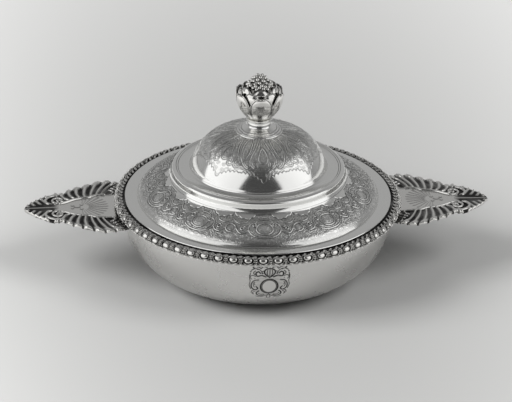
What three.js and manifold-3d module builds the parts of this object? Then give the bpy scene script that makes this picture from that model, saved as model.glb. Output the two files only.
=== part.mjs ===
// Écuelle: a low covered silver bowl with two flat cast handles and a domed lid with a bud finial.
// Millimetres, +Z up. The origin is on the table under the bowl's centre, +X runs through the right
// handle and -Y is the front.
import * as THREE from "three";
import { mergeVertices } from "three/addons/utils/BufferGeometryUtils.js";
import Module from "manifold-3d";

const wasm = await Module();
wasm.setup();

// Fits between pieces
const solderGap = 0.3; // between pieces that are soldered or screwed together
const seatGap = 0.1; // the lid on its ledge
const bezelClearance = 0.5; // the lid's bezel inside the ledge
const boreClearance = 0.3; // round the stud
const cutOverrun = 1; // how far a shape runs past the face that trims it

// Bowl, raised from sheet
const bowlRadius = 87.4; // outside, at the mouth
const bowlWall = 1.3;
const bowlHeight = 48; // top edge of the wall
const mouthStraight = 3; // upright wall above the belly's curve
const baseRadius = 46; // flat underside
const bellyPower = 1.94; // 2 would be an ellipse

// Border, a cast strip of eggs and leaves; reaches are outwards from the bowl's wall
const eggCount = 62;
const ledgeWidth = 4.6; // inwards, where the lid rests
const ledgeThickness = 1.2;
const lipSetback = 1; // inwards, of the border's upright inner lip beside the lid
const lipRise = 1.1; // above the ledge
const crestReach = 2.9;
const crestRise = 1.6; // above the ledge
const eggReach = 4.9;
const borderFootReach = 3.4;
const borderFootShare = 0.9; // how far down the upright wall, as a share of it
const eggRelief = 1.1; // between the eggs' crowns and the leaves

// Lid, raised from sheet; each width is inwards and each rise upwards from the feature before it
const lidGap = 2.1; // from the border round the lid's edge
const lidRimThickness = 1.7;
const lidEdgeRound = 0.5;
const lidWall = 1.1;
const rimWidth = 7.9;
const bandStepRise = 0.4; // the small step where the band starts
const bandWidth = 16.4;
const bandRise = 10.7;
const bandPower = 1.4;
const coveWidth = 5.7;
const coveRise = 5.2;
const covePower = 1.6;
const beadWidth = 0.9; // upright outside of the small stepped ring
const beadRise = 3.1;
const ringWidth = 1.5; // its rounded top
const ringRise = 1.4;
const dishWidth = 2.5; // and its fall towards the dome
const dishDrop = 1.3;
const domeGap = 6.8; // flat land round the dome
const domeHeight = 25.9;
const domeSidePower = 3.36;
const domeCrownPower = 1.48;
const bezelThickness = 1.2;
const bezelDepth = 7;

// Finial, from the dome's crown upwards
const collarRadius = 14.7;
const collarGap = 0.2; // over the dome
const collarEdge = 0.8;
const collarFlange = 2.7; // width of the sloping flange
const collarStepHeight = 1.5;
const collarLand = 1.9; // width of the flat step round the spool
const waistRadius = 6.8;
const waistShare = 0.6; // how far up the spool
const spoolRingReach = 1.2; // over the waist
const spoolRingEdge = 0.8;
const spoolHeight = 7.2;
const petalCount = 6;
const petalThickness = 1;
const petalFloor = 1.3;
const lipFlareWidth = 0.7; // of a petal's rolled lip, outwards
const petalFootRadius = 6.4;
const petalFootStep = 1; // each row's foot is this much narrower than the one below
const petalLipRadius = 15.3;
const petalLipStep = 2.6; // and its lip this much narrower
const outerPetalHeight = 16.2; // lip above the spool
const middlePetalRise = 4.8; // lip above the outer row's
const innerPetalRise = 2.8; // lip above the middle row's
const berryRise = 7.1; // top of the berries above the inner row's lip
const studRadius = 1.8;
const studInsertDepth = 3.7; // up into the berries' stem
const studTail = 1.9; // under the nut
const washerRadius = 6;
const washerThickness = 1;
const nutSides = 6;
const nutFlats = 7; // across two opposite sides
const nutHeight = 3;

// Handles; the reach is from the bowl's wall
const handleReach = 61.95;
const handleHalfWidth = 37;
const handleThickness = 2.2; // at the sunk panel
const frameRelief = 1.3; // the scrolled frame over the panel
const ribRelief = 1.1;
const scallopDepth = 0.9; // of the outline, between two ribs
const rootFadeLength = 3; // the relief fades in over this length outside the border
const tipDroop = 0.8;
const scrollWire = 0.85; // radius of the raised scroll

// Facets round each kind of piece, and steps along its curves
const ringFacets = 40;
const collarFacets = 24;
const studFacets = 12;
const eggFacets = 3;
const outerPetalFacets = 6;
const innerPetalFacets = 4;
const scrollFacets = 4;
const scrollSteps = 18;
const bellySteps = 9;

const table = 0;
const shoulderHeight = bowlHeight - mouthStraight;
const ledgeHeight = bowlHeight + ledgeThickness;
const ledgeRadius = bowlRadius - ledgeWidth;
const borderRadius = bowlRadius + eggReach;
const lidUnderside = ledgeHeight + seatGap;
const lidTop = lidUnderside + lidRimThickness;
const lidRadius = bowlRadius - lidGap;
const bandFootRadius = lidRadius - rimWidth;
const bandCrownRadius = bandFootRadius - bandWidth;
const stepRadius = bandCrownRadius - coveWidth;
const ringRadius = stepRadius - beadWidth - ringWidth;
const domeRadius = ringRadius - dishWidth - domeGap;
const bandCrownHeight = lidTop + bandStepRise + bandRise;
const stepHeight = bandCrownHeight + coveRise;
const ringHeight = stepHeight + beadRise + ringRise;
const domeFoot = ringHeight - dishDrop;
const crown = domeFoot + domeHeight;
const studBore = studRadius + boreClearance;
const quarterTurn = Math.PI / 2;
const fullTurn = 2 * Math.PI;
const at = (radius, height) => new THREE.Vector2(radius, height);

// Points of a quarter superellipse, from (reach, 0) to (0, rise).
function quarterCurve(steps, reach, rise, sidePower, crownPower = sidePower) {
  return Array.from({ length: steps + 1 }, (_, i) => {
    const turn = (i / steps) * quarterTurn;
    return at(
      reach * Math.cos(turn) ** (2 / sidePower),
      rise * Math.sin(turn) ** (2 / crownPower),
    );
  });
}

// The profile moved sideways by a distance, to the right of its direction, with mitred corners.
function offsetProfile(points, distance) {
  const side = (a, b) => {
    const run = b.clone().sub(a).normalize();
    return at(run.y, -run.x);
  };
  return points.map((point, i) => {
    const before = side(points[Math.max(i - 1, 0)], points[Math.max(i, 1)]);
    const last = points.length - 1;
    const after = side(points[Math.min(i, last - 1)], points[Math.min(i + 1, last)]);
    const mitre = before.clone().add(after).normalize();
    return point.clone().addScaledVector(mitre, distance / mitre.dot(after));
  });
}

// A turned solid about Z from a profile that starts and ends on the axis.
function turned(profile, facets) {
  return new THREE.LatheGeometry(profile, facets).rotateX(quarterTurn);
}

// A turned ring about Z from a profile that goes round its section once.
function turnedRing(section, facets) {
  return turned([...section, section[0]], facets);
}

// A closed ring whose section changes round the axis: sectionAt(angle, column) gives its points.
function loftedRing(columns, sectionAt) {
  const positions = [];
  const faces = [];
  let rows = 0;
  for (let column = 0; column < columns; column++) {
    const angle = (column / columns) * fullTurn;
    const section = sectionAt(angle, column);
    rows = section.length;
    for (const { x, y } of section) positions.push(x * Math.cos(angle), x * Math.sin(angle), y);
  }
  for (let column = 0; column < columns; column++) {
    const here = column * rows;
    const next = ((column + 1) % columns) * rows;
    for (let row = 0; row < rows; row++) {
      const up = (row + 1) % rows;
      faces.push(here + row, next + row, here + up);
      faces.push(here + up, next + row, next + up);
    }
  }
  return new THREE.BufferGeometry()
    .setAttribute("position", new THREE.Float32BufferAttribute(positions, 3))
    .setIndex(faces);
}

function toSolid(geometry) {
  const bare = geometry.clone();
  bare.deleteAttribute("normal");
  bare.deleteAttribute("uv");
  const merged = mergeVertices(bare);
  return new wasm.Manifold(
    new wasm.Mesh({
      numProp: 3,
      vertProperties: new Float32Array(merged.attributes.position.array),
      triVerts: new Uint32Array(merged.index.array),
    }),
  );
}

function fromSolid(solid) {
  const mesh = solid.getMesh();
  return new THREE.BufferGeometry()
    .setAttribute("position", new THREE.BufferAttribute(mesh.vertProperties, 3))
    .setIndex(new THREE.BufferAttribute(mesh.triVerts, 1));
}

// Closed shapes that overlap, joined into one solid.
function joined(geometries) {
  return geometries.map(toSolid).reduce((whole, next) => whole.add(next));
}

function piece(name, geometry, { color, roughness }) {
  geometry.computeVertexNormals();
  const material = new THREE.MeshStandardMaterial({ color, roughness, metalness: 1 });
  const mesh = new THREE.Mesh(geometry, material);
  mesh.name = name;
  return mesh;
}

const polishedSilver = { color: "#d2d3d4", roughness: 0.18 };
const castSilver = { color: "#b9babc", roughness: 0.3 };
const chasedSilver = { color: "#c4c5c7", roughness: 0.26 };

// Bowl

function bowlGeometry() {
  const belly = (wall) =>
    quarterCurve(bellySteps, bowlRadius - baseRadius - wall, shoulderHeight - wall, bellyPower).map(
      ({ x, y }) => at(baseRadius + x, shoulderHeight - y),
    );
  return turned(
    [
      at(0, table),
      ...belly(0).reverse(),
      at(bowlRadius, bowlHeight),
      at(bowlRadius - bowlWall, bowlHeight),
      ...belly(bowlWall),
      at(0, bowlWall),
    ],
    ringFacets,
  );
}

// The section swells over each egg and falls back over the leaf between two eggs.
function borderGeometry() {
  const wallSide = bowlRadius + solderGap;
  const leafColumn = Math.floor(eggFacets / 2);
  const pitch = fullTurn / eggCount;
  return loftedRing(eggCount * eggFacets, (angle, column) => {
    const relief = column % eggFacets === leafColumn ? eggRelief : 0;
    return [
      at(ledgeRadius, bowlHeight),
      at(wallSide, bowlHeight),
      at(wallSide, shoulderHeight),
      at(bowlRadius + borderFootReach - relief, bowlHeight - borderFootShare * mouthStraight),
      at(borderRadius - relief, bowlHeight),
      at(bowlRadius + crestReach - relief / 2, ledgeHeight + crestRise - relief),
      at(bowlRadius - lipSetback, ledgeHeight + lipRise),
      at(bowlRadius - lipSetback, ledgeHeight),
      at(ledgeRadius, ledgeHeight),
    ];
  }).rotateZ(pitch * (1 / 2 - leafColumn / eggFacets));
}

// Handles

// Half outline of a handle from its root to its tip: how far along, and how wide.
const outlineShares = [
  [0, 0.82], [0.08, 0.91], [0.17, 1], [0.25, 1], [0.33, 0.94], [0.41, 0.84], [0.5, 0.76],
  [0.575, 0.66], [0.635, 0.53], [0.7, 0.55], [0.78, 0.475], [0.87, 0.335], [0.945, 0.19], [1, 0.012],
];
// The sunk panel's half width along the same way, as a share of the handle's half width.
const panelShares = [
  [0, 0.41], [0.2, 0.43], [0.32, 0.41], [0.42, 0.34], [0.52, 0.3], [0.6, 0.2], [0.66, 0.12],
  [0.74, 0.1], [0.85, 0.06], [1, 0.004],
];
// Where ribs start and end along the handle, and how many lie between: root lobes, gadroons, tip leaf.
const ribRunShares = [
  { from: 0.02, to: 0.22, ribs: 2 },
  { from: 0.22, to: 0.6, ribs: 9 },
  { from: 0.78, to: 0.97, ribs: 3 },
];
const plainShares = [0, 0.66, 0.72, 1]; // sections between the ribs
const ribLeanShare = 0.035; // how far a rib leans towards the tip, as a share of the handle's length
const tipFadePower = 6; // the relief dies away towards the point
// One half of a section from the panel's edge outwards: how far from panel to outline, and how much of
// the frame's and of the rib's relief.
const sectionShares = [
  { toEdge: 0, frame: 0, rib: 0 },
  { toEdge: 0.1, frame: 1, rib: 0 },
  { toEdge: 0.65, frame: 0.25, rib: 1 },
  { toEdge: 1, frame: 0.1, rib: 0.3 },
];
const voluteReachShare = 0.67; // how far along the handle's reach a volute has its middle
const voluteOffsetShare = 0.281; // and how far across its half width
const voluteRadiusShare = 0.17;
const voluteEyeShare = 0.24; // the eye's radius, as a share of the volute's

// The handle is made a little too long at its root and then cut to the bowl's wall.
const handleRoot = bowlRadius + solderGap;
const handleTip = bowlRadius + handleReach;
const handleTop = shoulderHeight - solderGap;
const rootHalfWidth = outlineShares[0][1] * handleHalfWidth;
const handleStart = Math.sqrt(handleRoot ** 2 - rootHalfWidth ** 2) - cutOverrun;

function widthAt(shares, along) {
  const next = shares.findIndex(([place]) => place >= along);
  if (next <= 0) return shares[0][1] * handleHalfWidth;
  const [fromPlace, fromWidth] = shares[next - 1];
  const [toPlace, toWidth] = shares[next];
  const part = (along - fromPlace) / (toPlace - fromPlace);
  return (fromWidth + (toWidth - fromWidth) * part) * handleHalfWidth;
}

// Sections of the handle along its length: in a rib's run a valley and then two crowns for each rib.
function handleSections() {
  const sections = plainShares.map((along) => ({ along, crest: 0 }));
  for (const { from, to, ribs } of ribRunShares) {
    const pitch = (to - from) / ribs;
    for (let rib = 0; rib < ribs; rib++) {
      const start = from + rib * pitch;
      sections.push({ along: start, crest: 0 });
      sections.push({ along: start + pitch / 3, crest: 1 });
      sections.push({ along: start + (2 * pitch) / 3, crest: 1 });
    }
    sections.push({ along: to, crest: 0 });
  }
  sections.sort((a, b) => a.along - b.along);
  return sections.filter(({ along }, i) => i === 0 || along > sections[i - 1].along);
}

// The handle's body: a surface of sections from root to tip over a flat underside.
function handleBody() {
  const sections = handleSections();
  const far = sectionShares.map((point) => ({ ...point, side: 1 }));
  const near = sectionShares.map((point) => ({ ...point, side: -1 })).reverse();
  const middle = { toEdge: 0, frame: 0, rib: 0, side: 0 };
  const across = [...near, middle, ...far];
  const top = [];
  const bottom = [];
  for (const { along, crest } of sections) {
    const bow = Math.sin(along * Math.PI);
    const outline = widthAt(outlineShares, along) - (1 - crest) * scallopDepth * bow;
    const panel = widthAt(panelShares, along);
    for (const { toEdge, frame, rib, side } of across) {
      const share = Math.min(along + ribLeanShare * bow * toEdge, 1);
      const x = handleStart + (handleTip - handleStart) * share;
      const y = side * (panel + (outline - panel) * toEdge);
      const outside = Math.hypot(x, y) - borderRadius;
      const fade = THREE.MathUtils.clamp(outside / rootFadeLength, 0, 1) * (1 - along ** tipFadePower);
      const relief = frame * frameRelief + rib * crest * ribRelief;
      const droop = tipDroop * share ** 2;
      top.push(x, y, handleTop - droop + relief * fade);
      if (toEdge === 1) bottom.push(x, y, handleTop - handleThickness - droop);
    }
  }
  const rowCount = across.length;
  const lastSection = sections.length - 1;
  const bottomStart = top.length / 3;
  const faces = [];
  const quad = (a, b, c, d) => faces.push(a, b, c, a, c, d);
  for (let section = 0; section < lastSection; section++) {
    const first = section * rowCount;
    const last = first + rowCount - 1;
    const low = bottomStart + 2 * section;
    for (let here = first; here < last; here++) {
      quad(here, here + rowCount, here + rowCount + 1, here + 1);
    }
    quad(low, low + 1, low + 3, low + 2);
    quad(first, low, low + 2, first + rowCount);
    quad(last + rowCount, low + 3, low + 1, last);
  }
  const capEnd = (section, flip) => {
    const first = section * rowCount;
    const low = bottomStart + 2 * section;
    const rim = [...across.keys()].map((row) => first + row);
    for (let i = 0; i < rowCount; i++) {
      const next = i + 1 < rowCount ? rim[i + 1] : low + 1;
      faces.push(low, ...(flip ? [next, rim[i]] : [rim[i], next]));
    }
  };
  capEnd(0, false);
  capEnd(lastSection, true);
  return new THREE.BufferGeometry()
    .setAttribute("position", new THREE.Float32BufferAttribute([...top, ...bottom], 3))
    .setIndex(faces);
}

// The raised scroll that leaves the panel's neck and rolls up into a volute.
function voluteScroll(side) {
  const startTurn = -0.62 * Math.PI;
  const turns = 1.55;
  const reach = bowlRadius + voluteReachShare * handleReach;
  const offset = voluteOffsetShare * handleHalfWidth;
  const height = handleTop + frameRelief / 2;
  const path = Array.from({ length: scrollSteps + 1 }, (_, i) => {
    const share = i / scrollSteps;
    const turn = startTurn + share * turns * fullTurn;
    const radius = voluteRadiusShare * handleHalfWidth * (1 - (1 - voluteEyeShare) * share);
    const y = offset + radius * Math.sin(turn);
    return new THREE.Vector3(reach + radius * Math.cos(turn), side * y, height);
  });
  const section = new THREE.Shape(
    Array.from({ length: scrollFacets }, (_, i) => {
      const turn = (i / scrollFacets) * fullTurn;
      return at(scrollWire * Math.cos(turn), scrollWire * Math.sin(turn));
    }),
  );
  return new THREE.ExtrudeGeometry(section, {
    steps: scrollSteps,
    extrudePath: new THREE.CatmullRomCurve3(path),
    bevelEnabled: false,
  });
}

function handleGeometry() {
  const wallCut = new THREE.CylinderGeometry(handleRoot, handleRoot, 2 * bowlHeight, 2 * ringFacets);
  const body = joined([handleBody(), voluteScroll(1), voluteScroll(-1)]);
  return fromSolid(body.subtract(toSolid(wallCut.rotateX(quarterTurn))));
}

// Lid

// Height of the dome's outside over a radius.
function domeHeightAt(radius) {
  const turn = Math.acos((radius / domeRadius) ** (domeSidePower / 2));
  return domeFoot + domeHeight * Math.sin(turn) ** (2 / domeCrownPower);
}

const seatHeight = domeHeightAt(washerRadius); // the crown is flat where the finial is clamped

// The lid's upper surface, from the stud's hole in the crown out to the foot of the band.
function lidSurface({ domeSteps, coveSteps, bandSteps }) {
  const dome = quarterCurve(domeSteps, domeRadius, domeHeight, domeSidePower, domeCrownPower);
  const cove = quarterCurve(coveSteps, coveWidth, coveRise, covePower);
  const band = quarterCurve(bandSteps, bandWidth, bandRise, bandPower);
  return [
    at(studBore, seatHeight),
    at(washerRadius, seatHeight),
    ...dome.slice(0, -1).reverse().map(({ x, y }) => at(x, domeFoot + y)),
    at(ringRadius - dishWidth, domeFoot),
    at(ringRadius, ringHeight),
    at(stepRadius - beadWidth, stepHeight + beadRise),
    ...cove.map(({ x, y }) => at(bandCrownRadius - x, stepHeight - y)),
    ...band.slice(0, -1).reverse().map(({ x, y }) => at(bandCrownRadius + x, lidTop + bandStepRise + y)),
  ];
}

function lidGeometry() {
  const upper = lidSurface({ domeSteps: 7, coveSteps: 3, bandSteps: 5 });
  const coarse = lidSurface({ domeSteps: 5, coveSteps: 2, bandSteps: 3 });
  const lower = offsetProfile(coarse, lidWall).slice(0, -1).reverse();
  lower[lower.length - 1].x = studBore;
  return turnedRing(
    [
      ...upper,
      at(lidRadius - lidEdgeRound, lidTop),
      at(lidRadius, lidTop - lidEdgeRound),
      at(lidRadius, lidUnderside),
      at(bandFootRadius - lidWall, lidUnderside),
      ...lower,
    ].reverse(),
    ringFacets,
  );
}

function bezelGeometry() {
  const outside = ledgeRadius - bezelClearance;
  return turnedRing(
    [
      at(outside - bezelThickness, lidUnderside - bezelDepth),
      at(outside, lidUnderside - bezelDepth),
      at(outside, lidUnderside),
      at(outside - bezelThickness, lidUnderside),
    ],
    ringFacets,
  );
}

// Finial

const spoolTop = crown + spoolHeight;
const collarStepRadius = collarRadius - collarFlange;
const spoolFootRadius = collarStepRadius - collarLand;

function collarGeometry() {
  const under = (radius) => domeHeightAt(Math.max(radius, washerRadius)) + collarGap;
  const waistHeight = waistShare * spoolHeight;
  const ringFoot = spoolHeight - spoolRingEdge;
  return turnedRing(
    [
      at(studBore, under(studBore)),
      at(washerRadius, under(washerRadius)),
      at(collarRadius, under(collarRadius)),
      at(collarRadius, under(collarRadius) + collarEdge),
      at(collarStepRadius, crown + collarEdge),
      at(collarStepRadius, crown + collarStepHeight),
      at(spoolFootRadius, crown + collarStepHeight),
      at((spoolFootRadius + waistRadius) / 2, crown + (collarStepHeight + waistHeight) / 2),
      at(waistRadius, crown + waistHeight),
      at(waistRadius, crown + (waistHeight + ringFoot) / 2),
      at(waistRadius + spoolRingReach, crown + ringFoot),
      at(waistRadius + spoolRingReach, spoolTop),
      at(studBore, spoolTop),
    ],
    collarFacets,
  );
}

// The bud's rows from the outside in; every second row is turned half a petal.
const outerLip = spoolTop + outerPetalHeight;
const middleLip = outerLip + middlePetalRise;
const innerLip = middleLip + innerPetalRise;
const petalRows = [
  { name: "finial_outer_petals", lip: outerLip, facets: outerPetalFacets },
  { name: "finial_middle_petals", lip: middleLip, facets: innerPetalFacets },
  { name: "finial_inner_petals", lip: innerLip, facets: innerPetalFacets },
];
const flankShares = [1 / 3, 2 / 3]; // where a petal's flank has a section between foot and lip
const notchShare = 0.42; // how deep two petals are parted, as a share of the row's height
const tuckShare = 0.1; // how far a petal's edges draw in

const rowFoot = (row) => spoolTop + solderGap + row * (petalFloor + solderGap);

// One row of the bud: petals round a cup, each rounded at its top with its lip turned outwards.
function petalGeometry({ lip, facets }, row) {
  const foot = rowFoot(row);
  const footRadius = petalFootRadius - row * petalFootStep;
  const lipRadius = petalLipRadius - row * petalLipStep;
  return loftedRing(petalCount * facets, (angle) => {
    const fromCentre = Math.abs((((angle / fullTurn) * petalCount) % 1) * 2 - 1);
    const arch = Math.sqrt(1 - fromCentre ** 2);
    const top = foot + (lip - foot) * (1 - notchShare * (1 - arch));
    const reach = lipRadius * (1 - tuckShare * fromCentre ** 2);
    const flank = (from, wall) => (share) => {
      const bend = share * quarterTurn;
      const radius = footRadius + (reach - footRadius) * Math.sin(bend) - wall;
      return at(radius, from + (top - from) * (1 - Math.cos(bend)));
    };
    return [
      at(studBore, foot),
      at(footRadius, foot),
      ...flankShares.map(flank(foot, 0)),
      at(reach + lipFlareWidth * arch, top - lipFlareWidth * arch),
      at(reach - petalThickness / 2, top),
      ...flankShares.map(flank(foot + petalFloor, petalThickness)).reverse(),
      at(footRadius - petalThickness, foot + petalFloor),
      at(studBore, foot + petalFloor),
    ];
  }).rotateZ(((row % 2) * fullTurn) / petalCount / 2);
}

// Sizes in the berries' cluster, as shares of the inner lip's radius.
const coreShare = 0.465;
const coreHeightShare = 0.58;
const berryShare = 0.188;
const stemShare = 0.376;
// The berries' rings over the rounded core: how high on it, and how many.
const berryRings = [
  { lift: 0.02, berries: 7 },
  { lift: 0.35, berries: 6 },
  { lift: 0.66, berries: 4 },
  { lift: 1, berries: 1 },
];

const berriesFoot = rowFoot(petalRows.length);
const studTop = berriesFoot + studInsertDepth;

function berriesGeometry() {
  const innerLipRadius = petalLipRadius - (petalRows.length - 1) * petalLipStep;
  const coreRadius = coreShare * innerLipRadius;
  const coreHeight = coreHeightShare * innerLipRadius;
  const berryRadius = berryShare * innerLipRadius;
  const stemRadius = stemShare * innerLipRadius;
  const coreMiddle = innerLip + berryRise - berryRadius - coreHeight;
  const core = turned(
    [
      at(0, studTop + boreClearance),
      at(studBore, studTop + boreClearance),
      at(studBore, berriesFoot),
      at(stemRadius, berriesFoot),
      at(stemRadius, coreMiddle - coreRadius / 2),
      ...quarterCurve(3, coreRadius, coreHeight, 2).map(({ x, y }) => at(x, coreMiddle + y)),
    ],
    studFacets,
  );
  const berries = berryRings.flatMap(({ lift, berries: count }, ring) =>
    Array.from({ length: count }, (_, i) => {
      const raise = lift * quarterTurn;
      const turn = ((i + (ring % 2) / 2) / count) * fullTurn;
      const reach = coreRadius * Math.cos(raise);
      const height = coreMiddle + coreHeight * Math.sin(raise);
      return new THREE.SphereGeometry(berryRadius, 5, 4)
        .rotateX(quarterTurn)
        .translate(reach * Math.cos(turn), reach * Math.sin(turn), height);
    }),
  );
  return fromSolid(joined([core, ...berries]));
}

const washerTop = seatHeight - lidWall - solderGap;
const nutTop = washerTop - washerThickness - solderGap;
const studFoot = nutTop - nutHeight - studTail;

function studGeometry() {
  const length = studTop - studFoot;
  return new THREE.CylinderGeometry(studRadius, studRadius, length, studFacets)
    .rotateX(quarterTurn)
    .translate(0, 0, studFoot + length / 2);
}

function washerGeometry() {
  return turnedRing(
    [
      at(studBore, washerTop - washerThickness),
      at(washerRadius, washerTop - washerThickness),
      at(washerRadius, washerTop),
      at(studBore, washerTop),
    ],
    2 * studFacets,
  );
}

function nutGeometry() {
  const corner = nutFlats / 2 / Math.cos(Math.PI / nutSides);
  const outline = new THREE.Shape(
    Array.from({ length: nutSides }, (_, i) => {
      const turn = (i / nutSides) * fullTurn;
      return at(corner * Math.cos(turn), corner * Math.sin(turn));
    }),
  );
  outline.holes.push(new THREE.Path().absarc(0, 0, studBore, 0, fullTurn, true));
  const settings = { depth: nutHeight, curveSegments: studFacets, bevelEnabled: false };
  return new THREE.ExtrudeGeometry(outline, settings).translate(0, 0, nutTop - nutHeight);
}

// Assembly

const bowl = new THREE.Group();
bowl.add(piece("bowl", bowlGeometry(), polishedSilver));
bowl.add(piece("rim_border", borderGeometry(), castSilver));
const rightHandle = piece("right_handle", handleGeometry(), castSilver);
const leftHandle = piece("left_handle", handleGeometry(), castSilver);
leftHandle.rotation.z = Math.PI;
bowl.add(rightHandle, leftHandle);

const lid = new THREE.Group();
lid.add(piece("lid", lidGeometry(), chasedSilver));
lid.add(piece("lid_bezel", bezelGeometry(), polishedSilver));
lid.add(piece("finial_collar", collarGeometry(), polishedSilver));
petalRows.forEach((row, i) => lid.add(piece(row.name, petalGeometry(row, i), castSilver)));
lid.add(piece("finial_berries", berriesGeometry(), castSilver));
lid.add(piece("finial_stud", studGeometry(), polishedSilver));
lid.add(piece("finial_washer", washerGeometry(), polishedSilver));
lid.add(piece("finial_nut", nutGeometry(), polishedSilver));

const ecuelle = new THREE.Group();
ecuelle.add(bowl, lid);
export default ecuelle;
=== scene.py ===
from math import cos, pi, radians, sin, sqrt, tau

import bpy
import numpy as np
from mathutils import Matrix, Vector


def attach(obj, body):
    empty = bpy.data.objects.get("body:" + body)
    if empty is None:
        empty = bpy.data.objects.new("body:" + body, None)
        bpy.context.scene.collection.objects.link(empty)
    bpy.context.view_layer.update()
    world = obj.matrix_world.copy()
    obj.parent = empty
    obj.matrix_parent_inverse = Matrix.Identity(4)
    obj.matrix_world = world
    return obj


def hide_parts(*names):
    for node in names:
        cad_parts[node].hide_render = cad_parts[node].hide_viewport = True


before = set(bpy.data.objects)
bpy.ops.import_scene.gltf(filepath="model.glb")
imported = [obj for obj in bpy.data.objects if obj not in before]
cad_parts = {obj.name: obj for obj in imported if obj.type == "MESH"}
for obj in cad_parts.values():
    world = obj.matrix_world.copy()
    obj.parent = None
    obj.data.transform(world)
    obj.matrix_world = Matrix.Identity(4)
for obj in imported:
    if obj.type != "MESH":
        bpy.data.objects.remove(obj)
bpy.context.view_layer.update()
mm = 0.001
scene = bpy.context.scene
print("frame loaded")


# Selection and mesh helpers

def pick(*objects):
    if bpy.context.object and bpy.context.object.mode != "OBJECT":
        bpy.ops.object.mode_set(mode="OBJECT")
    bpy.ops.object.select_all(action="DESELECT")
    for obj in objects:
        obj.select_set(True)
    if objects:
        bpy.context.view_layer.objects.active = objects[0]


def points(obj):
    coords = np.zeros(len(obj.data.vertices) * 3)
    obj.data.vertices.foreach_get("co", coords)
    return coords.reshape(-1, 3) / mm


def movePoints(obj, coords):
    obj.data.vertices.foreach_set("co", (coords * mm).ravel())
    obj.data.update()


def editAll(obj):
    pick(obj)
    bpy.ops.object.mode_set(mode="EDIT")
    bpy.ops.mesh.select_all(action="SELECT")


def tidyMesh(obj, angle=35, weld=0.002):
    editAll(obj)
    bpy.ops.mesh.remove_doubles(threshold=weld * mm)
    bpy.ops.mesh.normals_make_consistent(inside=False)
    bpy.ops.object.mode_set(mode="OBJECT")
    bpy.ops.object.shade_smooth_by_angle(angle=radians(angle))


def joinAll(pieces, name, angle, weld):
    pick(*pieces)
    bpy.ops.object.join()
    pieces[0].name = name
    tidyMesh(pieces[0], angle, weld)
    return pieces[0]


# The source and its copies, so many in all round the axis
def repeatRound(source, count):
    pieces = [source]
    for i in range(1, count):
        pick(source)
        bpy.ops.object.duplicate()
        pieces.append(bpy.context.object)
        pieces[-1].data.transform(Matrix.Rotation(i * tau / count, 4, "Z"))
    return pieces


# Turned ware: a ring is drawn from point to point of (radius, height) in mm, as on a chuck
def spinUp(name, profile, segments, capped=False):
    pick()
    radius, height = profile[0]
    bpy.ops.mesh.primitive_circle_add(vertices=segments, radius=radius * mm, location=(0, 0, height * mm))
    obj = bpy.context.object
    obj.name = name
    bpy.ops.object.transform_apply()
    editAll(obj)
    for nextRadius, nextHeight in profile[1:]:
        rise = (nextHeight - height) * mm
        growth = nextRadius / radius
        bpy.ops.mesh.extrude_region_move(TRANSFORM_OT_translate={"value": (0, 0, rise)})
        bpy.ops.transform.resize(value=(growth, growth, 1), center_override=(0, 0, 0))
        radius, height = nextRadius, nextHeight
    if capped:
        bpy.ops.mesh.select_all(action="SELECT")
        bpy.ops.mesh.fill_holes(sides=0)
    tidyMesh(obj)
    return obj


# A flat grid of so many columns along x and rows along y, from -1 to 1 both ways
def flatGrid(name, grid):
    pick()
    bpy.ops.mesh.primitive_grid_add(x_subdivisions=grid[0], y_subdivisions=grid[1], size=2)
    obj = bpy.context.object
    obj.name = name
    coords = np.zeros(len(obj.data.vertices) * 3)
    obj.data.vertices.foreach_get("co", coords)
    coords = coords.reshape(-1, 3)
    return obj, coords[:, 0], coords[:, 1]


def setMask(obj, name, values):
    layer = obj.data.attributes.new(name, "FLOAT", "POINT")
    layer.data.foreach_set("value", np.clip(values, 0, 1).astype(np.float32))


# Drawing tools for the chaser's work, in mm on the flat

# Smooth from 0 at one edge to 1 at the other, which may be the lower one
def step(edge0, edge1, x):
    t = np.clip((x - edge0) / (edge1 - edge0), 0, 1)
    return t * t * (3 - 2 * t)


# 0 to 1 and back in each turn
def waves(phase):
    return 0.5 + 0.5 * np.cos(phase)


def smoothLine(marks, steps=6):
    marks = np.array(marks, float)
    padded = np.vstack([2 * marks[0] - marks[1], marks, 2 * marks[-1] - marks[-2]])
    out = []
    for a, b, c, d in zip(padded, padded[1:], padded[2:], padded[3:]):
        for t in np.arange(steps) / steps:
            bend = (2 * a - 5 * b + 4 * c - d) * t**2 + (3 * b - a - 3 * c + d) * t**3
            out.append(0.5 * (2 * b + (c - a) * t + bend))
    out.append(marks[-1])
    return np.array(out)


def smoothLines(drawn):
    return [smoothLine(marks) for marks in drawn]


def spiral(x, y, start, end, fromTurn, toTurn, steps=22):
    turn = np.radians(np.linspace(fromTurn, toTurn, steps))
    reach = np.linspace(start, end, steps)
    return np.stack([x + reach * np.cos(turn), y + reach * np.sin(turn)], 1)


def ring(x, y, wide, high, steps=28):
    turn = np.linspace(0, tau, steps + 1)
    return np.stack([x + wide * np.cos(turn), y + high * np.sin(turn)], 1)


# How far each point lies from the nearest of the drawn lines
def lineDistance(x, y, lines):
    best = np.full(x.shape, np.inf)
    for line in lines:
        for (ax, ay), (bx, by) in zip(line, line[1:]):
            dx, dy = bx - ax, by - ay
            share = np.clip(((x - ax) * dx + (y - ay) * dy) / max(dx * dx + dy * dy, 1e-9), 0, 1)
            best = np.minimum(best, (x - ax - share * dx) ** 2 + (y - ay - share * dy) ** 2)
    return np.sqrt(best)


# 1 on a strap, falling to 0 over the soft edge
def strap(distance, width, soft):
    return step((width + soft) / 2, (width - soft) / 2, distance)


# A turned piece's outline: its points, the way along it at each, and the direction out of it there
def makeOutline(line):
    run = np.concatenate([[0], np.cumsum(np.hypot(*np.diff(line, axis=0).T))])
    slope = np.gradient(line, run, axis=0)
    return line, run, np.stack([-slope[:, 1], slope[:, 0]], 1)


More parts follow.
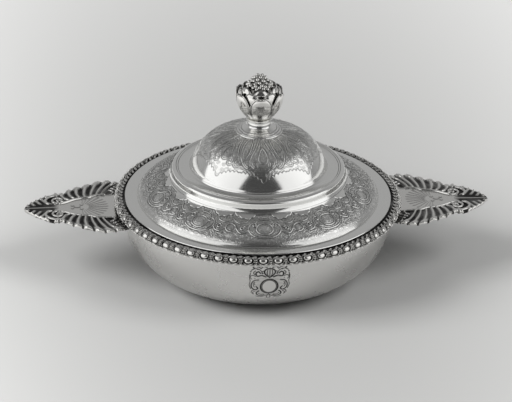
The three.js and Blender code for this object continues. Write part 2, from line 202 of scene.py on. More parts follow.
# Radius and height of a point at a way along the outline, lifted out of it
def overOutline(outline, run, lift):
    line, runs, normals = outline
    return [np.interp(run, runs, line[:, i]) + np.interp(run, runs, normals[:, i]) * lift for i in (0, 1)]


# Part of a superellipse, from its widest point to its top
def quarter(reach, rise, steps, sidePower, topPower=None):
    turns = [i / steps * pi / 2 for i in range(steps + 1)]
    topPower = topPower or sidePower
    return [(reach * cos(t) ** (2 / sidePower), rise * sin(t) ** (2 / topPower)) for t in turns]


def reachFrom(x, y, place):
    return np.hypot(x - place[0], y - place[1])


def wrapRound(obj, radius, turn, height):
    movePoints(obj, np.stack([radius * np.cos(turn), radius * np.sin(turn), height], 1))


# Materials

def linear(hexColour):
    parts = [int(hexColour[i:i + 2], 16) / 255 for i in (1, 3, 5)]
    return (*[c / 12.92 if c <= 0.04045 else ((c + 0.055) / 1.055) ** 2.4 for c in parts], 1)


# Settings name a node's options or its sockets, and inputs fill its sockets in their order. Each may be a
# value, a socket, or a node whose first output is meant.
def addNode(tree, kind, settings=None, *inputs):
    node = tree.nodes.new("ShaderNode" + kind)
    for key, value in {**(settings or {}), **dict(enumerate(inputs))}.items():
        if isinstance(value, bpy.types.Node):
            value = value.outputs[0]
        if isinstance(value, bpy.types.NodeSocket):
            tree.links.new(value, node.inputs[key])
        elif isinstance(key, int) or key in node.inputs:
            node.inputs[key].default_value = value
        else:
            setattr(node, key, value)
    return node


silver = {
    "darkColour": "#1f1e1d",  # sulphide left in the hollows, and painted shade there
    "wearLeast": 0.8,  # the clouds' factor on roughness and on the sulphide and painted shade
    "wearMost": 1.15,
    "darkRoughness": 0.3,  # added where dark, and where matted
    "mattedRoughness": 0.2,
    "cloudMm": 14,
    "planishMm": 9,  # hammer facets
    "planishDepthMm": 0.6,
    "planishStrength": 0.06,
    "scratchMm": 1.2,  # fine wear scratches, drawn coarser than real so that they show
    "scratchDepthMm": 0.05,
    "punchMm": 1.1,  # punch marks of the matted ground
    "punchDepthMm": 0.25,
    "tendrilMm": 4.5,  # fine engraved curls that fill the ground, and how many lines each has
    "tendrilLines": 11,
    "tendrilDepthMm": 0.5,
}


# Raised or cast silver: near mirror, softened by clouds of fine wear, the faint waviness that the hammer
# leaves, and sulphide in the hollows. Shade is painted into the colour too: the attribute hollow says where
# sulphide and painted shade make it dark, ground where it is matted.
def makeSilver(name, colour, roughness, scratches, matting):
    material = bpy.data.materials.new(name)
    material.use_nodes = True
    tree = material.node_tree
    shader = tree.nodes["Principled BSDF"]
    shader.inputs["Metallic"].default_value = 1
    where = addNode(tree, "TexCoord").outputs["Object"]
    cloud, wave, scratch, curls = [
        addNode(tree, "TexNoise", {"Scale": 1 / (silver[size] * mm), "Detail": detail}, where)
        for size, detail in (("cloudMm", 2), ("planishMm", 1), ("scratchMm", 1), ("tendrilMm", 0.6))]
    punch = addNode(tree, "TexVoronoi", {"Scale": 1 / (silver["punchMm"] * mm)}, where)
    ground, hollow = [addNode(tree, "Attribute", {"attribute_name": mask}).outputs["Fac"]
                      for mask in ("ground", "hollow")]
    wear = addNode(tree, "MapRange", {"From Min": 0.3, "From Max": 0.7, "To Min": silver["wearLeast"],
                   "To Max": silver["wearMost"]}, cloud)
    lines = addNode(tree, "Math", {"operation": "MULTIPLY"}, curls, silver["tendrilLines"])
    tendril = addNode(tree, "Math", {"operation": "PINGPONG"}, lines, 0.5)
    pits = addNode(tree, "MapRange", {"From Min": 0.3, "From Max": 0.05}, tendril)
    matted = addNode(tree, "Math", {"operation": "MULTIPLY"}, ground, matting)
    # sulphide and painted shade in the hollows, varied by the clouds
    shadeAndSulphide = addNode(tree, "Math", {"operation": "MULTIPLY"}, hollow, wear)
    dark = addNode(tree, "Math", {"operation": "MULTIPLY_ADD", "use_clamp": True}, pits, matted, shadeAndSulphide)
    colours = addNode(tree, "Mix", {"data_type": "RGBA", 6: linear(colour), 7: linear(silver["darkColour"])},
                      dark)
    worn = addNode(tree, "Math", {"operation": "MULTIPLY"}, wear, roughness)
    shadedAndStained = addNode(tree, "Math", {"operation": "MULTIPLY_ADD"}, dark, silver["darkRoughness"], worn)
    rough = addNode(tree, "Math", {"operation": "MULTIPLY_ADD", "use_clamp": True}, matted,
                    silver["mattedRoughness"], shadedAndStained)
    bump = addNode(tree, "Bump", {"Height": wave, "Strength": silver["planishStrength"],
                   "Distance": silver["planishDepthMm"] * mm})
    bump = addNode(tree, "Bump", {"Height": scratch, "Strength": scratches, "Normal": bump,
                   "Distance": silver["scratchDepthMm"] * mm})
    for height, depth in ((punch, "punchDepthMm"), (tendril, "tendrilDepthMm")):
        bump = addNode(tree, "Bump", {"Height": height, "Strength": matted, "Normal": bump,
                       "Distance": silver[depth] * mm})
    tree.links.new(colours.outputs[2], shader.inputs["Base Color"])
    tree.links.new(rough.outputs[0], shader.inputs["Roughness"])
    tree.links.new(bump.outputs[0], shader.inputs["Normal"])
    return material


silverKinds = {
    # polished sheet silver: a mirror with the faintest hammer facets and scratches
    "polishedSheetSilver": {"colour": "#e6e6e4", "roughness": 0.15, "scratches": 0.03, "matting": 0},
    # the bowl's belly is satin: more handled, with cloudy wear that blurs what it mirrors
    "wornSheetSilver": {"colour": "#dad9d7", "roughness": 0.3, "scratches": 0, "matting": 0},
    # cast silver: bright where fingers and cloth rub, nearly black down in the hollows with sulphide and
    # painted shade
    "castSilver": {"colour": "#dddcd9", "roughness": 0.15, "scratches": 0.02, "matting": 0.1},
    # chased sheet silver: polished straps on a ground dulled by a matting punch
    "chasedSheetSilver": {"colour": "#e6e6e4", "roughness": 0.15, "scratches": 0.02, "matting": 0.4},
}
polishedSilver, satinSilver, castSilver, chasedSilver = [
    makeSilver(name, **kind) for name, kind in silverKinds.items()]


def finish(obj, material, body, slot, *nodes):
    obj.data.materials.clear()
    obj.data.materials.append(material)
    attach(obj, body)
    if nodes:
        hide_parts(*nodes)


# Camera, floor and lights

camera = {
    "reach": 1500,  # mm from the middle of the table, level, and height over it
    "height": 772.08,
    "objectTurn": 5.45,  # degrees that the object is turned against the view
    "lookTurn": 5.4074,
    "pitch": 25.837,
    "roll": 1.0065,
    "lens": 182.673,  # mm, on a sensor 36 mm wide
}

cameraData = bpy.data.cameras.new("camera")
cameraData.lens = camera["lens"]
cameraData.sensor_width = 36
cameraData.clip_end = 100
cameraObject = bpy.data.objects.new("camera", cameraData)
scene.collection.objects.link(cameraObject)
side = radians(camera["objectTurn"])
cameraObject.location = Vector((-sin(side), -cos(side), 0)) * camera["reach"] * mm
cameraObject.location.z = camera["height"] * mm
aim = (Matrix.Rotation(radians(-camera["lookTurn"]), 4, "Z")
       @ Matrix.Rotation(radians(90 - camera["pitch"]), 4, "X")
       @ Matrix.Rotation(radians(camera["roll"]), 4, "Z"))
cameraObject.rotation_euler = aim.to_euler()
scene.camera = cameraObject

studio = {
    "floorShadeMiddle": "#939392",
    "floorLitSides": "#c5c5c4",
    "floorFrom": 0.05,  # metres from the middle to where the painted light on the paper starts to rise and is brightest
    "floorTo": 0.32,
    "floorShift": (-0.01, 0.02, 0),
    "floorStretch": (1, 0.45, 0),  # the painted shade in the middle is longer from front to back
    "floorPower": 1.6,
    "overhead": 0.26,
    "backdrop": 0.16,
    "behindCamera": 0.07,
    "panelReach": 1.7,
    "panelGlow": 0.95,
    # azimuth and elevation in degrees, width and height in metres, and a fill's watts
    "lamps": {
        "leftPanel": (-70, 27, 2.4, 1.7, None),
        "rightPanel": (63, 27, 2, 1.7, None),
        "leftFill": (-75, 38, 0.9, 0.9, 42),
        "rightFill": (60, 46, 0.9, 0.9, 22),
    },
}

scene.view_settings.view_transform = "Standard"
pick()
bpy.ops.mesh.primitive_plane_add(size=16)
floor = bpy.context.object
floor.name = "studioSheet"
# Matt background paper, painted darker in the middle as shade and a little lighter towards both sides as
# light
paper = bpy.data.materials.new("mattPaper")
paper.use_nodes = True
tree = paper.node_tree
paperShader = tree.nodes["Principled BSDF"]
paperShader.inputs["Roughness"].default_value = 0.9
paperShader.inputs["Specular IOR Level"].default_value = 0.2
where = addNode(tree, "TexCoord").outputs["Object"]
placed = addNode(tree, "VectorMath", {"operation": "MULTIPLY_ADD"}, where, studio["floorStretch"],
                 studio["floorShift"])
middle = addNode(tree, "VectorMath", {"operation": "LENGTH"}, placed).outputs["Value"]
share = addNode(tree, "MapRange", {"From Min": studio["floorFrom"], "From Max": studio["floorTo"]}, middle)
slow = addNode(tree, "Math", {"operation": "POWER"}, share, studio["floorPower"])
# painted shade in the middle and painted light towards the sides
paintedShadeAndLight = addNode(tree, "Mix", {"data_type": "RGBA", 6: linear(studio["floorShadeMiddle"]),
               7: linear(studio["floorLitSides"])}, slow)
tree.links.new(paintedShadeAndLight.outputs[2], paperShader.inputs["Base Color"])
floor.data.materials.append(paper)

# The room that the silver mirrors: a lit backdrop behind, dim overhead, dark behind the camera
world = bpy.data.worlds.new("studioRoom")
scene.world = world
world.use_nodes = True
tree = world.node_tree
where = addNode(tree, "SeparateXYZ", {}, addNode(tree, "TexCoord").outputs["Generated"])
# axis, where along it the light changes, and its level before and after
behind, low, ceiling = [
    addNode(tree, "MapRange", {"interpolation_type": "SMOOTHSTEP", "From Min": start, "From Max": end,
            "To Min": before, "To Max": after}, where.outputs[axis])
    for axis, start, end, before, after in [
        ("Y", -0.1, 0.7, 0, studio["backdrop"]),
        ("Z", 0.9, 0.5, 0, 1),
        ("Y", -0.75, -0.1, studio["behindCamera"], studio["overhead"])]]
glow = addNode(tree, "Math", {"operation": "MULTIPLY_ADD"}, behind, low, ceiling)
tree.links.new(glow.outputs[0], tree.nodes["Background"].inputs["Color"])

# Two tall panels that the polished silver mirrors, and fills that light the paper and aren't mirrored
for name, (azimuth, elevation, wide, high, fill) in studio["lamps"].items():
    lamp = bpy.data.lights.new(name, "AREA")
    lamp.shape = "RECTANGLE"
    lamp.size, lamp.size_y = wide, high
    lamp.energy = fill or studio["panelGlow"] * wide * high * pi
    lampObject = bpy.data.objects.new(name, lamp)
    scene.collection.objects.link(lampObject)
    side, lift = radians(azimuth), radians(elevation)
    away = Vector((sin(side) * cos(lift), -cos(side) * cos(lift), sin(lift)))
    lampObject.location = away * studio["panelReach"]
    lampObject.rotation_euler = away.to_track_quat("Z", "Y").to_euler()
    lampObject.visible_glossy = not fill
print("camera, floor and lights placed")


# Bowl

bowlForm = {
    "radius": 87.4,
    "wall": 1.3,
    "height": 48,
    "shoulder": 45,
    "base": 46,
    "bellyPower": 1.94,
    "segments": 360,
}


def belly(inset, steps):
    form = bowlForm
    wide, high = form["radius"] - form["base"] - inset, form["shoulder"] - inset
    return [(form["base"] + reach, form["shoulder"] - drop)
            for reach, drop in quarter(wide, high, steps, form["bellyPower"])]


mouth = [(bowlForm["radius"] - inset, bowlForm["height"]) for inset in (0, bowlForm["wall"])]
bowlProfile = belly(0, 40)[::-1] + mouth + belly(bowlForm["wall"], 30)
bowl = spinUp("bowlRaised", bowlProfile, bowlForm["segments"], capped=True)
finish(bowl, satinSilver, "bowl_body", "polished_silver", "bowl")


# An engraved cartouche on the front: a plain oval field between C-scrolls and leafy sprays, drawn flat in mm
# across from the middle and down from the shoulder
cartoucheForm = {
    "turn": 11.5,  # degrees each side of the front that the patch covers
    "low": 13,  # height of its lower edge
    "grid": (190, 200),
    "field": (17.6, 5.6, 6.6),  # its middle, half width and half height
    "inset": 0.9,  # between the field's two lines
    "boldWide": 0.95,
    "fineWide": 0.6,
    "lift": 0.07,  # over the bowl's own surface, and how far under it the patch's edge dips
    "edgeDip": 0.05,
    "cut": 0.05,
}


def cartoucheLines():
    middle, wide, high = cartoucheForm["field"]
    inset = cartoucheForm["inset"]
    bold = [ring(0, middle, wide, high)] + smoothLines([
        [(6.9, 11.6), (9.6, 12.2), (11.4, 15), (11.2, 18.6), (9, 20.6), (7.4, 19.2), (8.4, 17.4)],
        [(6.6, 21.6), (8.2, 23.6), (7.6, 26), (5.2, 27.2), (3, 26.2)],
        [(2.4, 9.2), (5, 8), (7.8, 8.6), (8.6, 6.4), (7, 5.2), (5.8, 6.4)],
        [(0, 9.6), (2, 8), (3.4, 5.6), (2.4, 3.6), (0, 2.9)],
    ])
    fine = [ring(0, middle, wide - inset, high - inset)] + smoothLines([
        [(0.9, 8.4), (1.7, 6.2), (1.4, 4.2)], [(0, 8.6), (0, 3.8)],
        [(4.2, 6.6), (6.2, 3.8), (9.2, 3), (11.4, 4.2)], [(8.8, 8.8), (10.8, 8), (12.2, 9.4), (11.2, 11)],
        [(9, 22), (10.6, 23.4), (10.2, 25.4)], [(0, 25), (2.6, 27.4), (5.8, 28.6), (8.6, 27.6)],
        [(0, 25), (1.2, 28), (0.6, 30.2)], [(10, 14), (9.2, 15.8)], [(5.4, 3), (7.2, 1.6), (9.6, 1.6)],
        [(1.6, 2.4), (3.8, 1.4), (5.4, 3)],
        [(0.6, 0.6), (2, 1.8), (3.2, 0.7), (4.6, 2), (6, 0.7), (7.4, 2), (8.8, 0.8), (10.4, 2.2)],
        [(3.6, 4.6), (5, 5.2), (4.6, 6.8)], [(8.8, 4.6), (10, 5.8), (9.4, 7.4), (8.2, 7.2)],
        [(12, 6.4), (12.6, 9.8), (12.2, 12.6), (12.8, 16), (12, 19.6)],
        [(9.2, 13.4), (10.2, 15.6), (9.6, 18)], [(7, 24), (5.4, 25.6), (3.2, 25)],
        [(9.6, 20.8), (11.2, 21.6), (11.6, 23.6)],
    ])
    # across, down and size of each leaf
    leaves = [(7.6, 3.4, 0.9), (9.8, 2.6, 0.8), (11.8, 5.2, 0.9), (12.4, 8.2, 0.8), (10.9, 24.4, 0.8),
              (4.4, 28.4, 0.9), (7, 28.4, 0.8), (2, 26.8, 0.7), (6.4, 1.4, 0.8), (3, 1.8, 0.7), (0, 1.6, 0.9),
              (9.2, 10.4, 0.7)]
    return bold, fine, leaves


def makeCartouche():
    form = cartoucheForm
    patch, u, v = flatGrid("engravedCartouche", form["grid"])
    outline = makeOutline(np.array(belly(0, 240)))
    down = (1 - v) / 2 * np.interp(-form["low"], -outline[0][:, 1], outline[1])
    turn = u * radians(form["turn"])
    across = np.abs(turn) * bowlForm["radius"]
    bold, fine, leaves = cartoucheLines()
    lines = np.maximum(strap(lineDistance(across, down, bold), form["boldWide"], 0.4),
                       0.95 * strap(lineDistance(across, down, fine), form["fineWide"], 0.3))
    for x, y, size in leaves:
        lines = np.maximum(lines, 0.9 * strap(np.hypot(across - x, (down - y) * 1.3), size * 1.3, 0.4))
    # level shading strokes round the field
    middle, wide, high = form["field"]
    field = np.hypot(across / (wide - form["inset"]), (down - middle) / (high - form["inset"]))
    shading = strap(np.abs((down * 0.9) % 1.1 - 0.55), 0.35, 0.3) * step(1.24, 1.3, field)
    shading *= step(1.75, 1.5, np.hypot(across / wide, (down - middle + 1.1) / (high + 1)))
    lines = np.maximum(lines, 0.5 * shading)
    rim = np.minimum(step(0, 0.18, 1 - np.abs(u)), step(0, 0.14, 1 - np.abs(v)))
    out = (form["lift"] + form["edgeDip"]) * rim - form["edgeDip"] - form["cut"] * lines
    radius, height = overOutline(outline, down, out)
    wrapRound(patch, radius, turn - pi / 2, height)
    setMask(patch, "hollow", lines)
    pick(patch)
    bpy.ops.object.shade_smooth_by_angle(angle=radians(60))
    return patch


finish(makeCartouche(), satinSilver, "bowl_body", "polished_silver")
print("bowl raised and engraved")


# Border: one egg with its frame and half a leaf each side, repeated round the mouth

eggForm = {
    "count": 62,
    "grid": (34, 40),
    "centre": (91.4, 49.6),  # radius and height of an egg's middle
    "half": (2.6, 2.65),  # its half width and half height
    "fullness": 2.6,  # 2 would be a plain dome
    "relief": 1.2,
    "collar": 3.55,  # reach of the C-shaped frame round an egg
    "curl": (1.3, -3.1),  # where the frame's ends curl, across and down from the egg's middle
    "leafHigh": 7.2,
    "leafTop": -3.4,
    "foot": 4.4,  # how far down the plain foot starts
    "ledgeSegments": 256,
}

borderProfile = smoothLine([(86.42, 49.25), (86.42, 50.2), (87, 50.55), (88.6, 50.75), (90.1, 50.8),
                            (91.5, 49.8), (92.25, 48.1), (91.95, 46.5), (90.75, 45.3)], 8)
borderOutline = makeOutline(borderProfile)
eggDown = borderOutline[1][np.argmin(reachFrom(*borderProfile.T, eggForm["centre"]))]


# Across and down are in mm from the egg's middle. Gives the height as a share of the relief, and the painted
# shade that darkens its lower parts.
def eggUnit(across, down):
    form = eggForm
    side = np.abs(across)
    half = pi / form["count"] * form["centre"][0]
    egg = np.hypot(across / form["half"][0], down / form["half"][1])
    boss = np.clip(1 - egg ** form["fullness"], 0, 1) ** 0.5
    fromUp = np.degrees(np.arctan2(side, -down))
    frameRound = np.abs(np.hypot(across, down * 0.92) - form["collar"])
    collar = strap(frameRound, 0.5, 0.3) * step(24, 36, fromUp)
    curl = strap(reachFrom(side, down, form["curl"]), 0.9, 0.4)
    # a leaf between two eggs, with a vein, its edge cut into small lobes
    fromLeaf = half - side
    leafRise = np.clip((down - form["leafTop"]) / form["leafHigh"], 0, 1)
    leafHalf = 0.75 * np.sin(leafRise * pi) ** 0.7 + 0.35 * np.cos(down * 4.4)
    leaf = step(1.1, 0.75, fromLeaf / np.maximum(leafHalf, 0.05))
    leaf = leaf * (1 - 0.6 * strap(fromLeaf, 0.4, 0.3))
    # small slanting leaf tips over the eggs, up to the lip beside the lid
    tips = waves((across + 0.8 * down) * tau / half) * step(-2.8, -3.2, down)
    foot = step(form["foot"], form["foot"] + 0.5, down)
    height = np.maximum.reduce([boss, 0.75 * collar, 0.8 * curl, 0.9 * leaf, 0.8 * tips, 0.6 * foot])
    # painted shade: the lower the relief, the darker
    return height, np.clip(1.4 - height / 0.55, 0, 1)


def makeBorder():
    form = eggForm
    unit, u, v = flatGrid("eggAndLeaf", form["grid"])
    pitch = tau / form["count"]
    end = borderOutline[1][-1]
    down = (1 - v) / 2 * end
    height, hollow = eggUnit(u / 2 * pitch * form["centre"][0], down - eggDown)
    # the wall beside the lid and the gap under it are painted dark as shade
    hollow = np.maximum(hollow, 1 - step(0.9, 1.2, down))
    fade = step(0.5, 1.3, down) * step(end, end - 0.4, down)
    sunk = (height - 1) * form["relief"] * (1.4 - 0.4 * step(2.5, 4.5, down)) * fade
    radius, rise = overOutline(borderOutline, down, sunk)
    scallop = step(end - 1.3, end, down) * 0.7 * (1 - np.sqrt(1 - (2 * np.abs(u) - 1) ** 2))
    wrapRound(unit, radius - scallop, u / 2 * pitch, rise + scallop * 0.5)
    setMask(unit, "hollow", hollow)
    setMask(unit, "ground", hollow * 0.5)
    return joinAll(repeatRound(unit, form["count"]), "eggBorderFront", 60, 0.01)


border = makeBorder()
ledgeProfile = [(87.6, 45.3), (90.4, 45.32), (90.2, 46.4), (90.4, 48), (89.7, 48.8), (88.4, 49), (87.1, 49.2),
                (86.6, 49.2), (85, 49.2), (82.8, 49.2), (82.8, 48), (87.6, 48), (87.6, 45.3)]
ledge = spinUp("borderLedge", ledgeProfile, eggForm["ledgeSegments"])
ledgeReach = np.hypot(*points(ledge)[:, :2].T)
# painted shade under the lid's edge and behind the eggs
setMask(ledge, "hollow", (ledgeReach > 84) & (ledgeReach < 90))
finish(border, castSilver, "bowl_body", "cast_silver", "rim_border")
finish(ledge, polishedSilver, "bowl_body", "polished_silver")
print("border cast")


# Handles, drawn along x from the bowl's wall to the tip; every place is in mm

handleForm = {
    "wall": 87.3,
    "tip": 149.3,
    "top": 44.7,
    "grid": (270, 290),
    "droop": 0.8,
    "edgeDrops": (0.9, 0.8),  # upright edge, and the chamfer under it
    "chamferShares": (0.985, 0.93, 1),  # size of the chamfer's lower edge, about the handle's middle
    "middle": 110,
    "ribStart": 99.9,
    "ribPitch": 3.3,
    "ribBow": 1.3,
    "ribScallop": 0.8,
    # how far a gadroon's outer end lies towards the tip, from place to place along the panel
    "leanFrom": [100, 103, 106.7, 110, 113.4, 116.6, 120, 125],
    "leanBy": [-10.5, -8.5, -4.2, -0.2, 3, 5, 6.2, 6.2],
    "outline": [(82.4, 30.5), (88, 33.5), (92, 35.8), (95, 37), (99, 36.8), (104, 34.8), (110, 31),
                (116, 28), (121, 24.2), (124, 20.6), (126, 19.4), (129.5, 20.2), (134.5, 17.4),
                (140.5, 12.2), (145.5, 6.8), (148.4, 2.2), (149.3, 0.02)],
    "panel": [(80, 15), (92, 16), (98, 16.2), (104, 15.4), (108, 13.2), (113, 12.2), (118, 10.6),
              (122.5, 7.5), (126, 4.5), (130, 4), (136, 3), (145, 1), (150, 0.1)],
    "scroll": [(98, 16.2), (104, 15.5), (108, 13.2), (113, 12.2), (118, 10.4), (122.5, 7.4), (126, 5.7),
               (129.6, 6.2), (131.4, 9), (130.3, 12), (127.6, 13), (125.4, 11.3), (125.8, 9),
               (127.8, 8.5)],
    "scrollWide": 1.5,
    "outerCurl": [(126, 17.2), (130.4, 16.8), (134, 14.2), (135.8, 10.2), (134.6, 6.2), (131.4, 4)],
    "curlWide": 1.8,
    "curlEye": (128.3, 9.8),
    "pocket": (130, 10.6),  # middle of the hollow that the scroll stands in
    "rootEye": (95.8, 19),
    "rootPitch": 3,
    "tipStart": 135.6,
    "tipPitch": 4.6,
    "fan": 113,  # where the palmette's rays meet
    "buds": [(115.6, 0, 1.5, 2.6, 0.9), (112.8, 3, 1, 2.2, 0.8), (118.6, 1.9, 1, 1.9, 0.8)],
}


# Where the gadroon through a point starts at the panel's frame
def ribFoot(x, rise):
    form = handleForm
    foot = x
    for _ in range(10):
        lean = np.interp(foot, form["leanFrom"], form["leanBy"])
        foot = 0.45 * foot + 0.55 * (x - lean * rise - form["ribBow"] * np.sin(rise**0.8 * pi))
    return foot


# Which gadroon a point is on, counted from the first one, and how far off its crest, 1 being between two
def ribPhase(x, rise):
    phase = (ribFoot(x, rise) - handleForm["ribStart"]) / handleForm["ribPitch"]
    return phase, np.abs(phase - np.round(phase)) * 2


# Hooked gadroons: thin bright ridges between hollow flutes, fanning from the root's lean to the tip's.
# Returns their height, the flutes' side that is painted in shade, and where there are any.
def gadroons(x, edge, rise):
    phase, away = ribPhase(x, rise)
    ridge = np.exp(-((away / 0.3) ** 2))
    hooked = step(0, 0.1, edge) * step(-1, -0.7, phase) * step(7.8, 7.4, phase)
    lobe = step(0.76, 0.88, rise) * step(0.9, 0.55, away) * 0.7
    pit = strap(np.hypot((rise - 0.62) * 9, (1 - away) * 2.2), 1.6, 0.8)
    ribs = (0.12 + ridge * (1 - 0.15 * rise) + lobe - 0.3 * pit) * hooked
    return ribs, (phase - np.floor(phase)) * hooked * (1 - ridge) * (1 - lobe), hooked


# Acanthus tip: a raised vein, and four lobes a side that turn out from it
def tipLeaf(x, side, rise):
    form = handleForm
    atTip = step(form["tipStart"], form["tipStart"] + 1.4, x + 0.15 * side)
    lobed = np.abs(((x - 0.55 * side - 0.4) / form["tipPitch"]) % 1 * 2 - 1)
    lobes = 0.85 * np.exp(-((lobed / 0.34) ** 2)) * step(0.1, 0.4, rise)
    vein = strap(side, 1.6, 1.2) * step(126, 130, x)
    return np.maximum((0.15 + lobes + 0.4 * step(0.8, 0.95, rise)) * atTip, 0.55 * vein)


# Palmette engraved and lightly raised on the panel: its rays, and the buds at their foot
def palmette(x, side):
    fromFan = handleForm["fan"] - x
    reach = np.hypot(fromFan, side)
    rays = waves(np.arctan2(side, fromFan) * 30) ** 3 * step(4, 6, reach) * step(18, 15.5, reach)
    buds = sum(strap(np.hypot((x - budX) / longer, side - budY), wide, soft)
               for budX, budY, longer, wide, soft in handleForm["buds"])
    return rays * step(0, 1.5, fromFan + 0.5), np.clip(buds, 0, 1)


# Height of the casting over its sunk panel, as a share of the frame's relief, and where it is dark: painted
# shade low down, on the flutes' shaded side and in the root's eye, and the panel's engraved lines
def handleRelief(x, y, edge):
    form = handleForm
    side = np.abs(y)
    fade = step(0.3, 3, np.hypot(x, y) - 92) * step(0, 0.8, form["tip"] - x)
    rise = np.clip(edge, 0, 1)
    ribs, shadeSide, hooked = gadroons(x, edge, rise)
    # long ridges sweeping round a scroll with a sunk eye at the root, painted dark as shade
    root = step(-0.1, 0.05, edge) * (1 - hooked)
    fromEye = reachFrom(x, side, form["rootEye"])
    turns = (fromEye - 3.7) / form["rootPitch"]
    shell = np.exp(-((np.abs(turns - np.round(turns)) * 2 / 0.42) ** 2))
    shell = shell * step(2.2, 3, fromEye) * step(131, 130, x)
    eye = strap(fromEye, 3.6, 1.4) * (1 - hooked)
    # the volute and the curl outside it
    scroll, outerCurl = [
        strap(lineDistance(x, side, [smoothLine(form[line], 5)]), form[wide], soft)
        for line, wide, soft in (("scroll", "scrollWide", 0.8), ("outerCurl", "curlWide", 0.9))]
    scroll = np.maximum(scroll, outerCurl * step(0.02, 0.1, edge))
    curl = strap(reachFrom(x, side, form["curlEye"]), 1.7, 0.9)
    pocket = strap(reachFrom(x, side, form["pocket"]), 11.5, 2) * (1 - np.maximum(scroll, curl))
    inPanel = step(0.08, -0.02, edge) * step(132, 127, x)
    rays, buds = palmette(x, side)
    height = np.maximum.reduce([
        ribs, 0.95 * scroll, 0.8 * curl, tipLeaf(x, side, rise), (0.1 + 0.85 * shell) * root,
        0.22 * rays * inPanel, 0.35 * buds * inPanel])
    height = height - 0.3 * pocket * (1 - inPanel) - 0.5 * eye * root
    # painted shade, darker the lower the relief and on the flutes' shaded side; the eye is painted dark too
    dark = (1.3 - height / 0.5 - 0.25 * shadeSide) * (1 - inPanel)
    dark = dark + inPanel * (1.6 * rays * (1 - rays) + 2.4 * buds * (1 - buds)) + 0.6 * eye * root
    return np.clip(height, -0.5, 1.2) * fade, np.clip(dark, 0, 1)


def makeHandle():
    form = handleForm
    body, u, v = flatGrid("rightHandleCast", form["grid"])
    along = (u + 1) / 2
    outline = smoothLine(form["outline"], 24)
    panel = np.array(form["panel"], float)
    wide = outline[:, 1].copy()
    ribbed = (outline[:, 0] > 91) & (outline[:, 0] < 124)
    wide[ribbed] -= form["ribScallop"] * ribPhase(outline[:, 0], np.ones(len(outline)))[1][ribbed] ** 2
    # the root follows the bowl's round wall, so the width and the place are found in turn
    halfWide = np.interp(84 + (form["tip"] - 84) * along, outline[:, 0], wide)
    for _ in range(4):
        rootX = np.sqrt(form["wall"] ** 2 - (v * halfWide) ** 2)
        x = (1 - along) * rootX + along * form["tip"]
        halfWide = np.interp(x, outline[:, 0], wide)
    y = v * halfWide
    panelHalf = np.interp(x, panel[:, 0], panel[:, 1])
    edge = (np.abs(y) - panelHalf) / np.maximum(halfWide - panelHalf, 0.3)
    height, hollow = handleRelief(x, y, edge)
    rounded = 0.5 * step(0.965, 1, np.abs(v)) ** 2
    movePoints(body, np.stack([x, y, form["top"] + height - form["droop"] * along**2 - rounded], 1))
    setMask(body, "hollow", hollow)
    editAll(body)
    bpy.ops.mesh.region_to_loop()
    for drop in form["edgeDrops"]:
        bpy.ops.mesh.extrude_region_move(TRANSFORM_OT_translate={"value": (0, 0, -drop * mm)})
    bpy.ops.transform.resize(value=form["chamferShares"], center_override=(form["middle"] * mm, 0, 0))
    bpy.ops.mesh.fill_holes(sides=0)
    bpy.ops.mesh.edge_face_add()
    tidyMesh(body, 50, 0.0005)
    return body


rightHandle, leftHandle = repeatRound(makeHandle(), 2)
leftHandle.name = "leftHandleCast"
finish(rightHandle, castSilver, "bowl_body", "cast_silver", "right_handle")
finish(leftHandle, castSilver, "bowl_body", "cast_silver", "left_handle")
print("handles cast")


# Lid: turned shell first, then the chased band and dome laid over it. Heights are above its flat rim.

lidForm = {
    "top": 51,
    "wall": 1.1,
    "bandFoot": (77.4, 0.4),
    "bandCrown": (61, 11.1),
    "bandPower": 1.4,
    "step": (55.3, 16.3),
    "covePower": 1.6,
    "domeRadius": 43.6,
    "domeFoot": 19.5,
    "domeHeight": 25.9,
    "sidePower": 3.36,
    "crownPower": 1.48,
    "footCurve": 2.4,  # height over the dome's foot where it starts to curve out
    "bore": 2.1,
    "sunk": 0.55,  # of the shell under the chased work
    "grooves": [51.2, 52.4],  # radii of two fine grooves in the stepped ring
    "segments": 256,
}


def lidLine():
    form = lidForm
    (footRadius, footHeight), (crownRadius, crownHeight), (stepRadius, stepHeight) = [
        form[place] for place in ("bandFoot", "bandCrown", "step")]
    dome = quarter(form["domeRadius"], form["domeHeight"], 44, form["sidePower"], form["crownPower"])
    dome = [(r, form["domeFoot"] + z) for r, z in dome if z > form["footCurve"]][::-1]
    cove = quarter(crownRadius - stepRadius, stepHeight - crownHeight, 16, form["covePower"])
    cove = [(crownRadius - r, stepHeight - z) for r, z in cove]
    band = quarter(footRadius - crownRadius, crownHeight - footHeight, 40, form["bandPower"])
    band = [(crownRadius + r, footHeight + z) for r, z in band][-2::-1]

    land = smoothLine([(43.66, 21.5), (43.85, 20.8), (44.5, 20.15), (45.7, 19.75), (47.8, 19.6),
                       (49.6, 19.75), (50.8, 20.05)], 4)
    ringRound = [(51, 20.1), (51.2, 19.85), (51.4, 20.2), (52.2, 20.4), (52.4, 20.15), (52.6, 20.5),
                 (53.3, 20.45), (54, 20.2), (54.6, 19.85), (54.95, 19.5), (55.1, 19.1), (55.18, 18.4),
                 (55.22, 17.4)]
    return dome + land.tolist() + ringRound + cove + band


surface = np.array(lidLine()) + [0, lidForm["top"]]
lidOutline = makeOutline(surface)
surfaceRun, surfaceNormal = lidOutline[1:]
surfaceNormal /= np.hypot(*surfaceNormal.T)[:, None]
domeEnd = int(np.argmin(np.abs(surface[:, 0] - lidForm["domeRadius"]) + (surface[:, 1] > 72)))
coveStart = int(np.argmax(surface[:, 0] > lidForm["step"][0] + 0.4))


# The way out from the crown to a radius, on the dome or from the cove outwards
def domeRun(radius):
    return np.interp(radius, surface[:domeEnd, 0], surfaceRun[:domeEnd])


def bandRun(radius):
    return np.interp(radius, surface[coveStart:, 0], surfaceRun[coveStart:])


